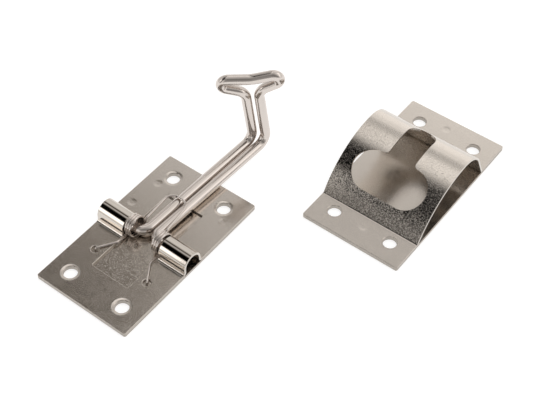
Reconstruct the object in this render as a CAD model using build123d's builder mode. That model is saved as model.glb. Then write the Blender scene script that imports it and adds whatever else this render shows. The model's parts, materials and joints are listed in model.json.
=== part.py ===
from build123d import *
from math import asin, atan2, cos, degrees, hypot, radians, sin, sqrt
import os

# Door holder in two halves. The hook half carries a sprung wire hook with a T-shaped head.
# The catch half is an arched strap with a keyhole, which the head goes through.
# The origin is the middle of the hook half's underside. X runs along the hook's pivot,
# Y runs from the pivot towards the hook's knee, and Z points away from the wall.

# Driving dimensions, in millimetres and degrees

# Sheet stock and plates
sheet = 1.0
plate_width = 50.0
hook_plate_length = 86.6
catch_plate_length = 89.6
corner_radius = 0.9
edge_rounding = 0.2

# Screw holes
screw_hole = 6.2
screw_rim = 0.4
screws_across = 29.4
hook_screws_along = 67.0
catch_screws_along = 69.4

# Window and bridges of the hook half's front plate
window_width = 20.4
window_front = -25.0
window_back = 24.4
window_corner = 0.6
bridge_inner = 4.3
bridge_height = 9.0
bridge_fold = 1.4
spring_hole = 3.7
spring_hole_x = 14.8
spring_hole_y = -17.9
spring_rim = 0.4

# Torsion spring
spring_wire = 1.1
coil_inner = 4.05
coil_turns = 3
coil_last_turn = 62.0
coil_gap = 0.05
coil_end_gap = 0.1
loop_rise = 3.4
loop_bend = 2.0
loop_reach = 22.3
loop_half_width = 5.3
loop_drift = -0.85
loop_corner = 4.2
leg_start = 2.4
leg_knee_x = 9.4
leg_knee_y = -9.6
leg_bend = 3.0
leg_tip_bend = 1.0
touch_gap = 0.06
foot_play = 0.24
loop_play = 0.35

# Wire hook
hook_wire_size = 4.8
stem_spacing = 5.0
foot_reach = 19.0
foot_bend = 4.2
stem_length = 74.6
stem_rise = 0.6
hook_skew = 2.5
knee_bend = 5.2
knee_spacing = 6.1
knee_turn = 30.0
neck_length = 29.0
neck_lean = 9.3
neck_spacing = 5.9
head_twist = 42.5
arm_start = 5.8
arm_bend = 6.0
head_turn = 3.0
head_turn_reach = 9.8
head_turn_height = 12.1
head_sideways = 0.85
bar_height = 13.8
bar_bend = 14.0

# Arch and keyhole of the catch half
catch_x = 69.2
catch_y = 97.1
arch_crest = 6.3
arch_height = 21.5
arch_front_radius = 39.4
arch_rear_radius = 14.6
arch_rear_slope = 65.3
arch_fold = 1.0
lobe_length = 37.2
lobe_height = 19.3
lobe_from_crest = 23.1
slot_width = 13.6
slot_from_crest = 3.1
neck_rounding = 2.0
slot_overlap = 3.0
neck_share = 0.95

# Values worked out from the driving dimensions, and how close counts as the same place
near = 0.01
cut_reach = 4 * sheet
hook_r = hook_wire_size / 2
spring_r = spring_wire / 2
pivot_z = sheet + touch_gap + spring_wire + foot_play + hook_r


def plate_blank(length, x, y):
    """A flat sheet with rounded corners, which stands for either half's back plate."""
    with BuildPart() as blank:
        with BuildSketch(Plane.XY):
            with Locations((x, y)):
                RectangleRounded(plate_width, length, corner_radius)
        extrude(amount=sheet)
        fillet(rim_edges(blank.faces().sort_by(Axis.Z)[-1:]), edge_rounding)
    return blank.part


def screw_places(along, x, y):
    """The middles of one half's four screw holes."""
    return [
        (x + side * screws_across / 2, y + end * along / 2)
        for side in (-1, 1)
        for end in (-1, 1)
    ]


def hole_rims(edges, hole):
    """The upper rims of the holes of one size, which the punch leaves rounded."""
    return [
        edge
        for edge in edges
        if edge.geom_type == GeomType.CIRCLE
        and abs(edge.radius - hole / 2) < near
        and abs(edge.center().Z - 2 * sheet) < near
    ]


def rim_edges(faces):
    """The edges where a group of faces ends, without the seams between two of them."""
    edges = [edge for face in faces for edge in face.edges()]
    return [edge for edge in edges if sum(edge.is_same(other) for other in edges) == 1]


# Back plate of the hook half

with BuildPart() as hook_back_plate:
    add(plate_blank(hook_plate_length, 0, 0))
    with Locations(*[(x, y, sheet) for x, y in screw_places(hook_screws_along, 0, 0)]):
        Hole(screw_hole / 2, depth=2 * sheet)

# Front plate of the hook half, pressed into two open bridges over the pivot

bridge_axis_z = bridge_height - bridge_inner


def bridge_run(gap):
    """One surface of the pressed sheet, a given gap above its underside, seen along X."""
    turn = bridge_fold + sheet - gap
    flat = sheet + gap
    wall = bridge_inner + gap
    fold_y = wall + turn
    for side in (-1, 1):
        Line((side * hook_plate_length / 2, flat), (side * fold_y, flat))
        if side < 0:
            CenterArc((-fold_y, flat + turn), turn, -90, 90)
        else:
            CenterArc((fold_y, flat + turn), turn, 180, 90)
        Line((side * wall, flat + turn), (side * wall, bridge_axis_z))
    CenterArc((0, bridge_axis_z), wall, 0, 180)


def upper_faces(faces):
    """The faces of the front plate's upper side, with the outer walls of the bridges."""
    return [
        face
        for face in faces
        if face.normal_at().Z > near
        or (
            abs(face.normal_at().Z) < near
            and face.normal_at().Y * face.center().Y > near
            and abs(face.center().Y) < bridge_inner + 2 * sheet
        )
    ]


with BuildPart() as hook_front_plate:
    with BuildSketch(Plane.YZ):
        with BuildLine():
            bridge_run(0)
            bridge_run(sheet)
            for side in (-1, 1):
                Line((side * hook_plate_length / 2, sheet), (side * hook_plate_length / 2, 2 * sheet))
        make_face()
    extrude(amount=plate_width / 2, both=True)
    corner_edges = hook_front_plate.edges().filter_by(Axis.Z).filter_by(
        lambda edge: abs(abs(edge.center().X) - plate_width / 2) < near
        and abs(abs(edge.center().Y) - hook_plate_length / 2) < near
    )
    fillet(corner_edges, corner_radius)
    fillet(rim_edges(upper_faces(hook_front_plate.faces())), edge_rounding)
    with BuildSketch(Plane.XY):
        with Locations((0, (window_front + window_back) / 2)):
            RectangleRounded(window_width, window_back - window_front, window_corner)
    extrude(amount=2 * bridge_height, mode=Mode.SUBTRACT)
    window_edges = [
        edge
        for edge in rim_edges(upper_faces(hook_front_plate.faces()))
        if abs(edge.center().X) < window_width / 2 + near
        and window_front - near < edge.center().Y < window_back + near
    ]
    fillet(window_edges, edge_rounding)
    with Locations(*[(x, y, 2 * sheet) for x, y in screw_places(hook_screws_along, 0, 0)]):
        Hole(screw_hole / 2, depth=2 * sheet)
    with Locations(*[(side * spring_hole_x, spring_hole_y, 2 * sheet) for side in (-1, 1)]):
        Hole(spring_hole / 2, depth=2 * sheet)
    fillet(hole_rims(hook_front_plate.edges(), screw_hole), screw_rim)
    fillet(hole_rims(hook_front_plate.edges(), spring_hole), spring_rim)

# Wire hook: two feet under the bridges, two stems side by side, a knee, a neck and the head

rise = radians(stem_rise)
lean = radians(neck_lean)
twist = radians(head_twist)
turn_at_knee = radians(knee_turn)
pivot = Vector(0, 0, pivot_z)
stem_way = Vector(0, cos(rise), sin(rise))
neck_way = Vector(0, -sin(lean), cos(lean))
across_neck = Vector(0, cos(lean), sin(lean))
head_way = Vector(1, 0, 0) * cos(twist) + across_neck * sin(twist)
knee_way = Vector(cos(turn_at_knee), sin(turn_at_knee), 0)
knee = pivot + stem_way * stem_length
neck_top = knee + neck_way * neck_length


def head_point(reach, height):
    """A point of the head, by its distance along the T and its height over the neck."""
    return neck_top + head_way * (reach + head_sideways * height / bar_height) + neck_way * height


def arm_corner():
    """Where an arm of the T and its top bar would cross, beyond the turn that joins them."""
    reach = head_turn_reach - neck_spacing / 2
    climb = head_turn_height - arm_start
    arm_angle = atan2(climb, reach) - asin(head_turn / hypot(reach, climb))
    drop = head_turn_height - bar_height
    bar_angle = atan2(drop, head_turn_reach) + asin(head_turn / hypot(head_turn_reach, drop))
    run = (bar_height - arm_start + neck_spacing / 2 * sin(bar_angle) / cos(bar_angle)) / (
        sin(arm_angle) - cos(arm_angle) * sin(bar_angle) / cos(bar_angle)
    )
    return neck_spacing / 2 + run * cos(arm_angle), arm_start + run * sin(arm_angle)


def hook_half(side):
    """The corners of the hook's wire on one side, from its foot to the end of the T."""
    corner_reach, corner_height = arm_corner()
    return [
        pivot + Vector(side * foot_reach, 0, 0),
        pivot + Vector(side * stem_spacing / 2, 0, 0),
        knee + knee_way * (side * knee_spacing / 2),
        head_point(side * neck_spacing / 2, arm_start),
        head_point(side * corner_reach, corner_height),
    ]


hook_corners = hook_half(1) + [head_point(0, bar_height)] + hook_half(-1)[::-1]
hook_bends = [foot_bend, knee_bend, arm_bend, head_turn]
hook_corners = [
    Vector(
        point.X * cos(radians(hook_skew)) + point.Y * sin(radians(hook_skew)),
        point.Y * cos(radians(hook_skew)) - point.X * sin(radians(hook_skew)),
        point.Z,
    )
    for point in hook_corners
]

with BuildPart() as hook_wire:
    with BuildLine():
        hook_line = FilletPolyline(*hook_corners, radius=hook_bends + [bar_bend] + hook_bends[::-1])
    with BuildSketch(Plane(origin=hook_line @ 0, z_dir=hook_line % 0)):
        Circle(hook_r)
    sweep(path=hook_line)

# Torsion spring: a coil round each foot, a loop over the stems and a leg into each small hole

coil_r = coil_inner + spring_r
coil_z = sheet + touch_gap + spring_wire + coil_inner
coil_pitch = spring_wire + coil_gap
coil_start_x = window_width / 2 - coil_end_gap - spring_r
coil_length = coil_pitch * (coil_turns + coil_last_turn / 360)
loop_z = pivot_z + hook_r + loop_reach * sin(rise) + loop_play + spring_r
leg_z = 2 * sheet + touch_gap + spring_r

with BuildPart() as torsion_spring:
    # One coil with its leg, and the same again on the other side
    with BuildLine():
        coil = Helix(
            pitch=coil_pitch,
            height=coil_length,
            radius=coil_r,
            center=(coil_start_x, 0, coil_z),
            direction=(-1, 0, 0),
            lefthand=True,
        )
    with BuildSketch(Plane(origin=coil @ 0, z_dir=coil % 0)):
        Circle(spring_r)
    sweep(path=coil, is_frenet=True)
    with BuildLine():
        leg = FilletPolyline(
            coil @ 0,
            (coil @ 0) - (coil % 0) * leg_start,
            (leg_knee_x, leg_knee_y, leg_z + touch_gap),
            (spring_hole_x, spring_hole_y, leg_z),
            (spring_hole_x, spring_hole_y, sheet + touch_gap),
            radius=[leg_bend, leg_bend, leg_tip_bend],
        )
    with BuildSketch(Plane(origin=leg @ 0, z_dir=leg % 0)):
        Circle(spring_r)
    sweep(path=leg)
    mirror(about=Plane.YZ)

    # The loop that joins the two coils over the stems
    rise_end = (coil @ 1) + (coil % 1) * loop_rise
    with BuildLine():
        loop = FilletPolyline(
            coil @ 1,
            rise_end,
            (loop_drift + loop_half_width, loop_reach, loop_z),
            (loop_drift - loop_half_width, loop_reach, loop_z),
            (-rise_end.X, rise_end.Y, rise_end.Z),
            (-(coil @ 1).X, (coil @ 1).Y, (coil @ 1).Z),
            radius=[loop_bend, loop_corner, loop_corner, loop_bend],
        )
    with BuildSketch(Plane(origin=loop @ 0, z_dir=loop % 0)):
        Circle(spring_r)
    sweep(path=loop)

# Back plate of the catch half

with BuildPart() as catch_back_plate:
    add(plate_blank(catch_plate_length, catch_x, catch_y))
    with Locations(*[(x, y, sheet) for x, y in screw_places(catch_screws_along, catch_x, catch_y)]):
        Hole(screw_hole / 2, depth=2 * sheet)

# Arched strap of the catch half, with flanges front and rear and the keyhole in its arch

crest_y = catch_y + arch_crest
front_z = arch_height - arch_front_radius
rear_z = arch_height - arch_rear_radius
fold_z = 2 * sheet + arch_fold
fold_reach = sheet + arch_fold
front_span = arch_front_radius + fold_reach
front_fold_y = crest_y - sqrt(front_span**2 - (fold_z - front_z) ** 2)
front_angle = degrees(atan2(fold_z - front_z, front_fold_y - crest_y))
rear_angle = 90 - arch_rear_slope
rear_out_y = cos(radians(rear_angle))
rear_out_z = sin(radians(rear_angle))
rear_end_y = crest_y + arch_rear_radius * rear_out_y
rear_end_z = rear_z + arch_rear_radius * rear_out_z
rear_fold_y = rear_end_y + (fold_reach - (fold_z - rear_end_z) * rear_out_z) / rear_out_y


def arch_run(gap):
    """One surface of the arched strap, a given gap above its underside, seen along X."""
    turn = fold_reach - gap
    flat = sheet + gap
    Line((catch_y - catch_plate_length / 2, flat), (front_fold_y, flat))
    CenterArc((front_fold_y, fold_z), turn, -90, front_angle - 90)
    CenterArc((crest_y, front_z), arch_front_radius + gap, 90, front_angle - 90)
    CenterArc((crest_y, rear_z), arch_rear_radius + gap, rear_angle, arch_rear_slope)
    Line(
        (
            crest_y + (arch_rear_radius + gap) * rear_out_y,
            rear_z + (arch_rear_radius + gap) * rear_out_z,
        ),
        (rear_fold_y - turn * rear_out_y, fold_z - turn * rear_out_z),
    )
    CenterArc((rear_fold_y, fold_z), turn, 180 + rear_angle, arch_rear_slope)
    Line((rear_fold_y, flat), (catch_y + catch_plate_length / 2, flat))


def arch_place(from_crest):
    """A plane that lies on the arch, a given distance along it from the crest."""
    if from_crest < 0:
        radius = arch_front_radius + sheet
        centre_z = front_z
    else:
        radius = arch_rear_radius + sheet
        centre_z = rear_z
    angle = from_crest / radius
    return Plane(
        origin=(catch_x, crest_y + radius * sin(angle), centre_z + radius * cos(angle)),
        x_dir=(1, 0, 0),
        z_dir=(0, sin(angle), cos(angle)),
    )


with BuildPart() as catch_arch:
    with BuildSketch(Plane.YZ.offset(catch_x)):
        with BuildLine():
            arch_run(0)
            arch_run(sheet)
            for side in (-1, 1):
                end_y = catch_y + side * catch_plate_length / 2
                Line((end_y, sheet), (end_y, 2 * sheet))
        make_face()
    extrude(amount=plate_width / 2, both=True)
    catch_corners = catch_arch.edges().filter_by(Axis.Z).filter_by(
        lambda edge: abs(abs(edge.center().X - catch_x) - plate_width / 2) < near
        and abs(abs(edge.center().Y - catch_y) - catch_plate_length / 2) < near
    )
    fillet(catch_corners, corner_radius)
    fillet(rim_edges([face for face in catch_arch.faces() if face.normal_at().Z > near]), edge_rounding)
    with Locations(*[(x, y, 2 * sheet) for x, y in screw_places(catch_screws_along, catch_x, catch_y)]):
        Hole(screw_hole / 2, depth=2 * sheet)

    # The wide part of the keyhole and the rounded corners of its neck
    with BuildSketch(arch_place(-lobe_from_crest)) as keyhole:
        SlotOverall(lobe_length, lobe_height)
        with Locations((0, lobe_height / 2)):
            Rectangle(slot_width, lobe_height / 2 + slot_overlap)
        neck_corners = [
            vertex
            for vertex in keyhole.vertices()
            if abs(abs(vertex.X) - slot_width / 2) < near and abs(vertex.Y - lobe_height / 2) < near
        ]
        straight_left = (lobe_length - lobe_height - slot_width) / 2
        fillet(neck_corners, min(neck_rounding, neck_share * straight_left))
    extrude(amount=-cut_reach, mode=Mode.SUBTRACT)
    extrude(keyhole.sketch, amount=cut_reach, mode=Mode.SUBTRACT)

    # The slot, from the wide part over the crest, and its round end
    slot_end = arch_place(slot_from_crest)
    slot_start_y = arch_place(-lobe_from_crest + lobe_height / 2).origin.Y
    with BuildSketch(Plane.XY.offset(arch_height - cut_reach)):
        with Locations((catch_x, slot_start_y - slot_overlap / 2)):
            Rectangle(
                slot_width,
                slot_end.origin.Y - slot_start_y + slot_overlap / 2,
                align=(Align.CENTER, Align.MIN),
            )
    extrude(amount=2 * cut_reach, mode=Mode.SUBTRACT)
    with BuildSketch(slot_end):
        Circle(slot_width / 2)
    extrude(amount=cut_reach, both=True, mode=Mode.SUBTRACT)
    fillet(hole_rims(catch_arch.edges(), screw_hole), screw_rim)

# Write each piece under its own name

pieces = {
    "hook_back_plate": hook_back_plate,
    "hook_front_plate": hook_front_plate,
    "hook_wire": hook_wire,
    "torsion_spring": torsion_spring,
    "catch_back_plate": catch_back_plate,
    "catch_arch": catch_arch,
}
os.makedirs("parts", exist_ok=True)
for name, piece in pieces.items():
    piece.part.label = name
    export_step(piece.part, "parts/" + name + ".step")
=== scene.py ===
import json
from math import radians

import bpy
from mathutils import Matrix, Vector

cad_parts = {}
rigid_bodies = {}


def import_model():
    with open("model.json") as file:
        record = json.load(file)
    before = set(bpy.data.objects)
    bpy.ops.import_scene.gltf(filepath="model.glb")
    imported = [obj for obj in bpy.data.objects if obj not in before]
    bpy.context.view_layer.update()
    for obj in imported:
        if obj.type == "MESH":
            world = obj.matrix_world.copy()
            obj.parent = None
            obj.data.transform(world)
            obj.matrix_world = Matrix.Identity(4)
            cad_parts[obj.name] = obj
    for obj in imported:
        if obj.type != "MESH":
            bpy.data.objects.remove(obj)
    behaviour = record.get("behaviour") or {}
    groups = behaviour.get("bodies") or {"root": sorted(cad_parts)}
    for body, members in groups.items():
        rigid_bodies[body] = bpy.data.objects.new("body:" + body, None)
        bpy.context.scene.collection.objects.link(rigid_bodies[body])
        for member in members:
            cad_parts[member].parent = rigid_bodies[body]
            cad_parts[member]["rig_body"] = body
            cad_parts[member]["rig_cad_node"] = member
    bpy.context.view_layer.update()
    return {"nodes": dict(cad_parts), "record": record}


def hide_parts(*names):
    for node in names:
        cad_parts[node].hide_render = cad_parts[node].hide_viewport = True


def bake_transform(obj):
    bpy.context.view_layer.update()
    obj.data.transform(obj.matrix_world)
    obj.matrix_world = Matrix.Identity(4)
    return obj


bl_info = {
    "name": "Door Holder",
    "version": (1, 0, 0),
    "blender": (4, 5, 0),
    "location": "3D View > Sidebar > Door Holder",
    "description": "Finishes a two-part steel door holder and sets up its studio",
    "category": "Object",
}

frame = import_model()
NODES = frame["nodes"]
MOUNTS = {mount["name"]: mount for mount in frame["record"]["mounts"]}
MM = 0.001

# The top of the two sheets, above which the steel was drawn up by the press
TOP = 2 * MM
DRAWN = 3.4 * MM

# Weld spots on each half, as X and Y in millimetres
HOOK_WELDS = ((-18.0, 27.0), (19.0, 27.0), (-20.0, 11.6))
CATCH_WELDS = ((69.9, 62.5), (67.5, 135.0))
# The hook half's screw holes, as X and Y in millimetres
SCREWS = MOUNTS["hook_screws"]["dims"]
HOOK_HOLES = [
    (across * SCREWS["spacing_x_mm"] / 2, along * SCREWS["spacing_y_mm"] / 2)
    for across in (-1, 1)
    for along in (-1, 1)
]
# Where a dimple is deepest and where it ends, from its middle in millimetres
WELD_REACH = (0.7, 2.4)
HOLE_REACH = (SCREWS["hole_r_mm"], SCREWS["hole_r_mm"] + 1.5)

# Corners closer than this are one corner, and folds sharper than these stay sharp
SAME_CORNER = 0.001 * MM
SHEET_FOLD = radians(28)
SPRING_FOLD = radians(40)

# The light tent in six strips, from left to right. Each stop is an angle from the zenith, in
# degrees towards the front, and how bright the cloth is there. The two strips that the hook
# half reflects are alike up to just in front of the zenith
HOOK_BACK = (
    (-90, 0.85), (-65, 0.9), (-45, 0.95), (-38, 0.85), (-33, 0.74), (-31, 0.58), (-29, 0.3),
    (-27, 0.17), (-25, 0.11), (-17, 0.09), (-12, 0.62), (-4, 0.62), (2, 0.1), (8, 0.0),
)
TENT = (
    # Far to the left
    (
        (-90, 0.9), (-50, 0.9), (-42, 0.68), (-30, 0.7), (-18, 0.48), (-3, 0.5), (8, 0.85),
        (36, 0.7), (90, 0.85),
    ),
    # What the bridges and the hook plate reflect, with a softbox low in front
    HOOK_BACK + ((39, 0.0), (43, 0.3), (47, 1.9), (56, 2.3), (70, 2.1), (80, 0.9), (90, 0.7)),
    # The same past the end of the softbox
    HOOK_BACK + ((60, 0.0), (76, 0.3), (90, 0.1)),
    # What the catch reflects, bright at the back and dark in front
    (
        (-90, 1.3), (-62, 1.3), (-51, 1.05), (-43, 1.2), (-40, 0.95), (-37, 0.58), (-34, 0.5),
        (-31, 0.62), (-25, 1.25), (-10, 1.2), (-4, 0.8), (3, 0.25), (9, 0.03), (14, 0.0),
        (60, 0.0), (66, 0.08), (76, 0.14), (90, 0.06),
    ),
    # The middle, which little but the wires reflects
    (
        (-90, 0.9), (-66, 0.85), (-42, 0.6), (-30, 0.95), (-15, 0.65), (18, 0.6), (36, 0.35),
        (48, 0.25), (60, 0.8), (90, 0.9),
    ),
    # Far to the right
    (
        (-90, 0.9), (-60, 0.9), (-52, 1.2), (-42, 1.6), (-30, 1.15), (-18, 0.8), (0, 0.62),
        (12, 0.4), (24, 0.3), (38, 0.2), (50, 0.32), (80, 0.4), (90, 0.6),
    ),
)
# Where each strip after the first fades in, by how far to the right the light comes from
TENT_FADES = ((-0.62, -0.54), (-0.432, -0.416), (-0.412, -0.378), (-0.24, -0.15), (0.08, 0.3))


def to_linear(hex_colour):
    """An sRGB hex colour as linear red, green, blue and a full alpha."""
    parts = [int(hex_colour[i:i + 2], 16) / 255 for i in (1, 3, 5)]
    return [p / 12.92 if p <= 0.04045 else ((p + 0.055) / 1.055) ** 2.4 for p in parts] + [1.0]


# The tent's cloth, and what each strip turns to where it is darker than the level given: the
# two over the hook half go brown there
WHITE_CLOTH = to_linear("#FFFCF9")
BROWN_CLOTH = to_linear("#FFF1E2")
DARK_LEVEL = 0.35
DARK_CLOTH = (WHITE_CLOTH, BROWN_CLOTH, BROWN_CLOTH, WHITE_CLOTH, WHITE_CLOTH, WHITE_CLOTH)


class SteelSettings(bpy.types.PropertyGroup):
    """Colours and finish of the stainless steel."""

    sheet_colour: bpy.props.FloatVectorProperty(
        name="Sheet colour",
        description="Colour of the bright rolled sheet",
        subtype="COLOR",
        size=4,
        default=to_linear("#CFC8C0"),
    )
    wire_colour: bpy.props.FloatVectorProperty(
        name="Wire colour",
        description="Colour of the polished rod and spring wire",
        subtype="COLOR",
        size=4,
        default=to_linear("#D4CCC6"),
    )
    # Darker than the sheet: partly the dull sheared steel, partly painted shade for the shade on
    # the walls of the holes
    dull_and_shaded_edge_colour: bpy.props.FloatVectorProperty(
        name="Edge colour",
        description="Colour of the sheared edges, which are dull",
        subtype="COLOR",
        size=4,
        default=to_linear("#B4ADA5"),
    )
    sheet_roughness: bpy.props.FloatProperty(
        name="Sheet roughness",
        description="How satin the flat sheet is",
        default=0.14,
        min=0.0,
        max=1.0,
        subtype="FACTOR",
    )
    bridge_roughness: bpy.props.FloatProperty(
        name="Bridge roughness",
        description="How satin the bridges are, where the press polished them",
        default=0.07,
        min=0.0,
        max=1.0,
        subtype="FACTOR",
    )
    arch_roughness: bpy.props.FloatProperty(
        name="Arch roughness",
        description="How satin the arch is between the pebbles of its peel",
        default=0.07,
        min=0.0,
        max=1.0,
        subtype="FACTOR",
    )
    sheet_dull: bpy.props.FloatProperty(
        name="Dull pebbles of the sheet",
        description="Roughness of the dull pebbles of the flat sheet",
        default=0.27,
        min=0.0,
        max=1.0,
        subtype="FACTOR",
    )
    arch_dull: bpy.props.FloatProperty(
        name="Dull pebbles of the arch",
        description="Roughness of the dull pebbles of the arch",
        default=0.3,
        min=0.0,
        max=1.0,
        subtype="FACTOR",
    )
    mill_roughness: bpy.props.FloatProperty(
        name="Mill roughness",
        description="How dull the catch's back plate is, which was never polished",
        default=0.22,
        min=0.0,
        max=1.0,
        subtype="FACTOR",
    )
    edge_roughness: bpy.props.FloatProperty(
        name="Edge roughness",
        description="How dull the sheared edges are",
        default=0.45,
        min=0.0,
        max=1.0,
        subtype="FACTOR",
    )
    wire_roughness: bpy.props.FloatProperty(
        name="Wire roughness",
        description="How satin the rod is",
        default=0.12,
        min=0.0,
        max=1.0,
        subtype="FACTOR",
    )
    spring_roughness: bpy.props.FloatProperty(
        name="Spring roughness",
        description="How satin the spring wire is",
        default=0.06,
        min=0.0,
        max=1.0,
        subtype="FACTOR",
    )
    cloud_size: bpy.props.FloatProperty(
        name="Cloud size",
        description="Width of one cloudy patch in the gloss",
        default=5 * MM,
        unit="LENGTH",
    )
    peel_size: bpy.props.FloatProperty(
        name="Peel size",
        description="Width of one pebble of the fine orange peel on the steel",
        default=0.4 * MM,
        unit="LENGTH",
    )
    sheet_peel: bpy.props.FloatProperty(
        name="Sheet peel",
        description="Depth of the peel on the flat sheets",
        default=0.006 * MM,
        unit="LENGTH",
    )
    flange_peel: bpy.props.FloatProperty(
        name="Flange peel",
        description="Depth of the peel on the flanges of the arch",
        default=0.02 * MM,
        unit="LENGTH",
    )
    arch_peel: bpy.props.FloatProperty(
        name="Arch peel",
        description="Depth of the peel on the arch, which was stretched in the press",
        default=0.03 * MM,
        unit="LENGTH",
    )
    wire_peel: bpy.props.FloatProperty(
        name="Wire peel",
        description="Depth of the faint grain on the rod, the spring wire and the bridges",
        default=0.003 * MM,
        unit="LENGTH",
    )
    weld_depth: bpy.props.FloatProperty(
        name="Weld depth",
        description="Depth of the dimple over each weld spot",
        default=0.05 * MM,
        unit="LENGTH",
    )
    hole_depth: bpy.props.FloatProperty(
        name="Hole depth",
        description="How far the rims of the hook half's screw holes are pressed in",
        default=0.12 * MM,
        unit="LENGTH",
    )
    edge_round: bpy.props.FloatProperty(
        name="Edge round",
        description="How far the sheared edges are rolled over",
        default=0.3 * MM,
        unit="LENGTH",
    )


class StudioSettings(bpy.types.PropertyGroup):
    """The floor and the camera."""

    floor_colour: bpy.props.FloatVectorProperty(
        name="Floor colour",
        description="Colour of the paper that the holder lies on",
        subtype="COLOR",
        size=4,
        default=to_linear("#BDBDBD"),
    )
    floor_glow: bpy.props.FloatProperty(
        name="Floor glow",
        description="How white the paper is to the camera and the steel",
        default=0.78,
        min=0.0,
    )
    floor_size: bpy.props.FloatProperty(
        name="Floor size",
        description="Side of the paper",
        default=4.0,
        unit="LENGTH",
    )
    camera_place: bpy.props.FloatVectorProperty(
        name="Camera place",
        description="Where the camera stands",
        subtype="TRANSLATION",
        size=3,
        default=(0.2346, -0.2193, 0.3991),
    )
    camera_target: bpy.props.FloatVectorProperty(
        name="Camera target",
        description="The point that the camera looks at",
        subtype="TRANSLATION",
        size=3,
        default=(0.0279, 0.0501, 0.0),
    )
    lens: bpy.props.FloatProperty(
        name="Lens",
        description="Focal length in millimetres, on a sensor 36 millimetres wide",
        default=78.0,
    )


class HolderSettings(bpy.types.PropertyGroup):
    """All the settings of the door holder."""

    steel: bpy.props.PointerProperty(type=SteelSettings)
    studio: bpy.props.PointerProperty(type=StudioSettings)


def add_node(tree, kind, inputs=(), **settings):
    """Adds one node with its settings. Its inputs are given by name or in their order, each as
    a plain value, as an output to link, or as a node whose first output is linked."""
    node = tree.nodes.new(kind)
    for name, value in settings.items():
        setattr(node, name, value)
    pairs = inputs.items() if isinstance(inputs, dict) else enumerate(inputs)
    for socket, value in pairs:
        if isinstance(value, bpy.types.Node):
            value = value.outputs[0]
        if isinstance(value, bpy.types.NodeSocket):
            tree.links.new(value, node.inputs[socket])
        else:
            node.inputs[socket].default_value = value
    return node


# How a Map Range node goes from its first level to its last. Its inputs, in their order, are
# the value, where the value begins and ends, and the first and the last level
SOFT = {"interpolation_type": "SMOOTHSTEP"}


def bent_way(tree, height):
    """The way that a strip bent only about X faces: smooth along its bend above and below, and
    each face's own way on its cut sides and its flanges."""
    surface = add_node(tree, "ShaderNodeNewGeometry")
    own = surface.outputs["True Normal"]
    without_x = add_node(
        tree, "ShaderNodeVectorMath", (surface.outputs["Normal"], (0, 1, 1)), operation="MULTIPLY"
    )
    smooth = add_node(tree, "ShaderNodeVectorMath", (without_x,), operation="NORMALIZE")
    side = add_node(tree, "ShaderNodeSeparateXYZ", (own,)).outputs["X"]
    sideways = add_node(tree, "ShaderNodeMath", (side,), operation="ABSOLUTE")
    open_face = add_node(tree, "ShaderNodeMapRange", (sideways, 0.3, 0.35, 1.0, 0.0), **SOFT)
    raised = add_node(tree, "ShaderNodeMapRange", (height, TOP, TOP + 0.02 * MM, 0.0, 1.0), **SOFT)
    share = add_node(tree, "ShaderNodeMath", (open_face, raised), operation="MULTIPLY")
    return add_node(tree, "ShaderNodeMixRGB", (share, own, smooth))


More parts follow.
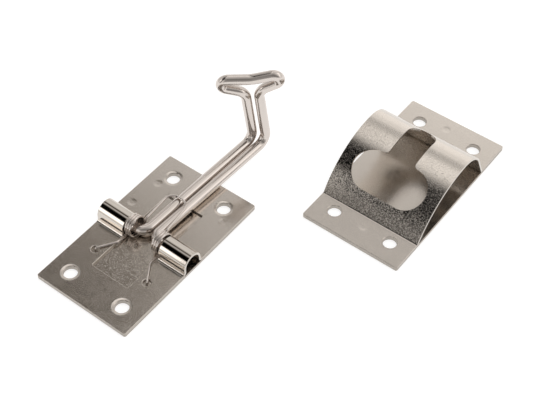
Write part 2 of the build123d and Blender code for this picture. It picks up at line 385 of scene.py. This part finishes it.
def stainless(name, colour, steel, flat, drawn, dimples=(), bent=False):
    """Stainless steel. What is flat and what was drawn up each have a roughness, the depth of
    their peel and the roughness of their dull pebbles. A dimple is its place, its reach and
    its depth."""
    material = bpy.data.materials.new(name)
    material.use_nodes = True
    tree = material.node_tree
    tree.nodes.clear()
    place = add_node(tree, "ShaderNodeTexCoord").outputs["Object"]
    height = add_node(tree, "ShaderNodeSeparateXYZ", (place,)).outputs["Z"]
    roughness, peel_depth, dull_roughness = [
        add_node(tree, "ShaderNodeMapRange", (height, TOP, DRAWN, below, above), **SOFT)
        for below, above in zip(flat, drawn)
    ]

    # Sheared edges are the upright faces between the floor and the top of the sheets
    surface = add_node(tree, "ShaderNodeNewGeometry").outputs["True Normal"]
    facing = add_node(tree, "ShaderNodeSeparateXYZ", (surface,)).outputs["Z"]
    level = add_node(tree, "ShaderNodeMath", (facing,), operation="ABSOLUTE")
    upright = add_node(tree, "ShaderNodeMapRange", (level, 0.3, 0.6, 1.0, 0.0), **SOFT)
    low = add_node(tree, "ShaderNodeMapRange", (height, TOP, TOP + 0.2 * MM, 1.0, 0.0), **SOFT)
    sheared = add_node(tree, "ShaderNodeMath", (upright, low), operation="MULTIPLY")
    # Sheared edges get a darker colour: partly their own dull steel, partly painted shade for the
    # shade on the walls of the holes and along the cut sides. Their higher roughness below is real
    sheet_and_shaded_edge_tint = add_node(tree, "ShaderNodeMixRGB", (sheared, colour, steel.dull_and_shaded_edge_colour))

    # Cloudy patches where the gloss is a little lower or higher
    clouds = add_node(
        tree,
        "ShaderNodeTexNoise",
        {"Vector": place, "Scale": 1 / steel.cloud_size, "Detail": 4.0, "Roughness": 0.65},
    )
    cloud = add_node(tree, "ShaderNodeMapRange", (clouds, 0.3, 0.7, 0.85, 1.15), **SOFT)
    gloss = add_node(tree, "ShaderNodeMath", (roughness, cloud), operation="MULTIPLY")

    # Dull pebbles between the bright ones. Here and in the peel they are drawn about twice as
    # coarse as real ones, because those would be too fine to show
    pebbles = add_node(
        tree,
        "ShaderNodeTexNoise",
        {"Vector": place, "Scale": 1 / steel.peel_size, "Detail": 1.0, "Roughness": 0.5},
    )
    pebble = add_node(tree, "ShaderNodeMapRange", (pebbles, 0.45, 0.62, 0.0, 1.0), **SOFT)
    dull = add_node(tree, "ShaderNodeMath", (pebble, dull_roughness), operation="MULTIPLY")
    edge = add_node(tree, "ShaderNodeMath", (sheared, steel.edge_roughness), operation="MULTIPLY")
    for rougher in (dull, edge):
        gloss = add_node(tree, "ShaderNodeMath", (gloss, rougher), operation="MAXIMUM")

    # The relief of the peel, and the dimples pressed into it
    peel = add_node(
        tree,
        "ShaderNodeTexNoise",
        {"Vector": place, "Scale": 1 / steel.peel_size, "Detail": 2.0, "Roughness": 0.6},
    )
    relief = add_node(tree, "ShaderNodeMath", (peel, peel_depth), operation="MULTIPLY")
    for (x, y), (bottom, end), depth in dimples:
        away = add_node(
            tree, "ShaderNodeVectorMath", (place, (x * MM, y * MM, TOP)), operation="DISTANCE"
        ).outputs["Value"]
        dimple = add_node(
            tree, "ShaderNodeMapRange", (away, bottom * MM, end * MM, -depth, 0.0), **SOFT
        )
        relief = add_node(tree, "ShaderNodeMath", (relief, dimple), operation="ADD")

    if bent:
        way = bent_way(tree, height)
    else:
        way = add_node(tree, "ShaderNodeBevel", {"Radius": steel.edge_round}, samples=4)
    bump = add_node(
        tree, "ShaderNodeBump", {"Strength": 1.0, "Distance": 1.0, "Height": relief, "Normal": way}
    )
    metal = add_node(
        tree,
        "ShaderNodeBsdfPrincipled",
        {"Metallic": 1.0, "Base Color": sheet_and_shaded_edge_tint, "Roughness": gloss, "Normal": bump},
    )
    add_node(tree, "ShaderNodeOutputMaterial", {"Surface": metal})
    return material


def finish_node(name, material, flat=True):
    """Gives a CAD node its material and a smooth surface between its real edges."""
    piece = NODES[name]
    piece.data.materials.clear()
    piece.data.materials.append(material)
    piece.data.shade_smooth()
    weld = piece.modifiers.new("Weld", "WELD")
    weld.merge_threshold = SAME_CORNER
    split = piece.modifiers.new("Split", "EDGE_SPLIT")
    split.split_angle = SHEET_FOLD
    if flat:
        # The large flats keep their own direction right up to their rounded edges
        weighted = piece.modifiers.new("Weighted", "WEIGHTED_NORMAL")
        weighted.mode = "FACE_AREA"
        weighted.weight = 100


class HOLDER_OT_sheets(bpy.types.Operator):
    """Finishes the plates of both halves and the arch"""

    bl_idname = "door_holder.sheets"
    bl_label = "Plates and arch"

    def execute(self, context):
        steel = context.scene.door_holder.steel
        # Bright rolled sheet: satin on the flat, with bridges that the press polished
        sheet = stainless(
            "bright_rolled_stainless_sheet",
            steel.sheet_colour,
            steel,
            (steel.sheet_roughness, steel.sheet_peel, steel.sheet_dull),
            (steel.bridge_roughness, steel.wire_peel, steel.bridge_roughness),
            [(spot, WELD_REACH, steel.weld_depth) for spot in HOOK_WELDS]
            + [(hole, HOLE_REACH, steel.hole_depth) for hole in HOOK_HOLES],
        )
        for name in ("hook_back_plate", "hook_front_plate"):
            finish_node(name, sheet)
        # Mill sheet: never polished, so what the catch's back plate reflects is soft
        mill_finish = (steel.mill_roughness, steel.sheet_peel, steel.mill_roughness)
        mill = stainless(
            "mill_stainless_sheet", steel.sheet_colour, steel, mill_finish, mill_finish
        )
        finish_node("catch_back_plate", mill)
        # Stretched sheet: satin flanges, and an arch whose peel is coarse enough to sparkle
        stretched = stainless(
            "stretched_stainless_sheet",
            steel.sheet_colour,
            steel,
            (steel.sheet_roughness, steel.flange_peel, steel.sheet_dull),
            (steel.arch_roughness, steel.arch_peel, steel.arch_dull),
            [(spot, WELD_REACH, steel.weld_depth) for spot in CATCH_WELDS],
            bent=True,
        )
        finish_node("catch_arch", stretched, flat=False)
        return {"FINISHED"}


class HOLDER_OT_hook(bpy.types.Operator):
    """Finishes the bent rod of the hook"""

    bl_idname = "door_holder.hook"
    bl_label = "Wire hook"

    def execute(self, context):
        steel = context.scene.door_holder.steel
        # Drawn and tumbled rod: nearly a mirror, with long soft highlights
        finish = (steel.wire_roughness, steel.wire_peel, steel.wire_roughness)
        rod = stainless("drawn_stainless_rod", steel.wire_colour, steel, finish, finish)
        finish_node("hook_wire", rod, flat=False)
        return {"FINISHED"}


class HOLDER_OT_spring(bpy.types.Operator):
    """Makes the torsion spring from a smoothed copy of the CAD spring"""

    bl_idname = "door_holder.spring"
    bl_label = "Torsion spring"

    def execute(self, context):
        steel = context.scene.door_holder.steel
        bpy.ops.object.select_all(action="DESELECT")
        source = NODES["torsion_spring"]
        source.select_set(True)
        context.view_layer.objects.active = source
        bpy.ops.object.duplicate()
        spring = context.active_object
        spring.name = "spring_wire"
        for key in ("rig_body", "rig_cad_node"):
            if key in spring:
                del spring[key]
        spring.parent = None
        bpy.ops.object.mode_set(mode="EDIT")
        bpy.ops.mesh.select_all(action="SELECT")
        bpy.ops.mesh.remove_doubles(threshold=SAME_CORNER)
        bpy.ops.object.mode_set(mode="OBJECT")
        bpy.ops.object.shade_smooth_by_angle(angle=SPRING_FOLD)
        # Hard-drawn spring wire: finer and glossier than the rod, so each turn has its glint
        finish = (steel.spring_roughness, steel.wire_peel, steel.spring_roughness)
        wire = stainless("hard_drawn_spring_wire", steel.wire_colour, steel, finish, finish)
        spring.data.materials.clear()
        spring.data.materials.append(wire)
        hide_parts("torsion_spring")
        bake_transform(spring)
        return {"FINISHED"}


def white_paper(studio):
    """Matt paper that looks lit from below to the camera and in the steel, and nowhere else."""
    paper = bpy.data.materials.new("white_paper")
    paper.use_nodes = True
    tree = paper.node_tree
    tree.nodes.clear()
    path = add_node(tree, "ShaderNodeLightPath")
    seen = path.outputs["Is Camera Ray"]
    for kind in ("Is Glossy Ray", "Is Transmission Ray"):
        seen = add_node(tree, "ShaderNodeMath", (seen, path.outputs[kind]), operation="MAXIMUM")
    level = add_node(tree, "ShaderNodeMath", (seen, studio.floor_glow), operation="MULTIPLY")
    glow = add_node(tree, "ShaderNodeEmission", {"Strength": level})
    matt = add_node(tree, "ShaderNodeBsdfDiffuse", {"Color": studio.floor_colour})
    both = add_node(tree, "ShaderNodeAddShader", (matt, glow))
    add_node(tree, "ShaderNodeOutputMaterial", {"Surface": both})
    return paper


def tent_strip(tree, share, stops, dark_cloth):
    """One strip of the tent, by the angle from the back over the top to the front."""
    ramp = add_node(tree, "ShaderNodeValToRGB", (share,))
    elements = ramp.color_ramp.elements
    elements.remove(elements[1])
    for number, (degrees, level) in enumerate(stops):
        position = (degrees + 90) / 180
        element = elements[0] if number == 0 else elements.new(position)
        element.position = position
        cloth = dark_cloth if level < DARK_LEVEL else WHITE_CLOTH
        element.color = [level * part for part in cloth[:3]] + [1]
    return ramp


def light_tent():
    """The world: strips of cloth to light the steel, and plain white behind the floor."""
    world = bpy.data.worlds.new("tent")
    world.use_nodes = True
    tree = world.node_tree
    tree.nodes.clear()
    way = add_node(tree, "ShaderNodeTexCoord").outputs["Generated"]
    parts = add_node(tree, "ShaderNodeSeparateXYZ", (way,)).outputs
    front = add_node(tree, "ShaderNodeMath", (parts["Y"], -1.0), operation="MULTIPLY")
    angle = add_node(tree, "ShaderNodeMath", (front, parts["Z"]), operation="ARCTAN2")
    share = add_node(tree, "ShaderNodeMapRange", (angle, radians(-90), radians(90), 0.0, 1.0))
    colour = tent_strip(tree, share, TENT[0], DARK_CLOTH[0])
    for stops, dark_cloth, (begin, end) in zip(TENT[1:], DARK_CLOTH[1:], TENT_FADES):
        fade = add_node(tree, "ShaderNodeMapRange", (parts["X"], begin, end, 0.0, 1.0), **SOFT)
        strip = tent_strip(tree, share, stops, dark_cloth)
        colour = add_node(tree, "ShaderNodeMixRGB", (fade, colour, strip))
    tent = add_node(tree, "ShaderNodeBackground", {"Color": colour})
    white = add_node(tree, "ShaderNodeBackground", {"Color": to_linear("#FFFFFF")})
    seen = add_node(tree, "ShaderNodeLightPath").outputs["Is Camera Ray"]
    mix = add_node(tree, "ShaderNodeMixShader", (seen, tent, white))
    add_node(tree, "ShaderNodeOutputWorld", {"Surface": mix})
    return world


class HOLDER_OT_studio(bpy.types.Operator):
    """Lays the paper floor, hangs the light tent and stands the camera"""

    bl_idname = "door_holder.studio"
    bl_label = "Studio"

    def execute(self, context):
        studio = context.scene.door_holder.studio
        bpy.ops.object.select_all(action="DESELECT")
        bpy.ops.mesh.primitive_plane_add(size=studio.floor_size, location=(0, 0, 0))
        floor = context.active_object
        floor.name = "paper_floor"
        floor.data.materials.append(white_paper(studio))

        context.scene.world = light_tent()
        context.scene.view_settings.view_transform = "Standard"

        bpy.ops.object.camera_add(location=studio.camera_place)
        camera = context.active_object
        camera.data.lens = studio.lens
        camera.data.sensor_width = 36.0
        view = Vector(studio.camera_target) - Vector(studio.camera_place)
        camera.rotation_euler = view.to_track_quat("-Z", "Y").to_euler()
        context.scene.camera = camera
        return {"FINISHED"}


class HOLDER_PT_panel(bpy.types.Panel):
    """Lists the steps that finish the door holder"""

    bl_label = "Door Holder"
    bl_idname = "HOLDER_PT_panel"
    bl_space_type = "VIEW_3D"
    bl_region_type = "UI"
    bl_category = "Door Holder"

    def draw(self, context):
        for step in STEPS:
            self.layout.operator(step.bl_idname, text=step.bl_label)


STEPS = (HOLDER_OT_sheets, HOLDER_OT_hook, HOLDER_OT_spring, HOLDER_OT_studio)
CLASSES = (SteelSettings, StudioSettings, HolderSettings, *STEPS, HOLDER_PT_panel)


def register():
    for item in CLASSES:
        bpy.utils.register_class(item)
    bpy.types.Scene.door_holder = bpy.props.PointerProperty(type=HolderSettings)


def unregister():
    del bpy.types.Scene.door_holder
    for item in reversed(CLASSES):
        bpy.utils.unregister_class(item)


def main():
    register()
    bpy.ops.door_holder.sheets()
    bpy.ops.door_holder.hook()
    bpy.ops.door_holder.spring()
    bpy.ops.door_holder.studio()


if __name__ == "__main__":
    main()
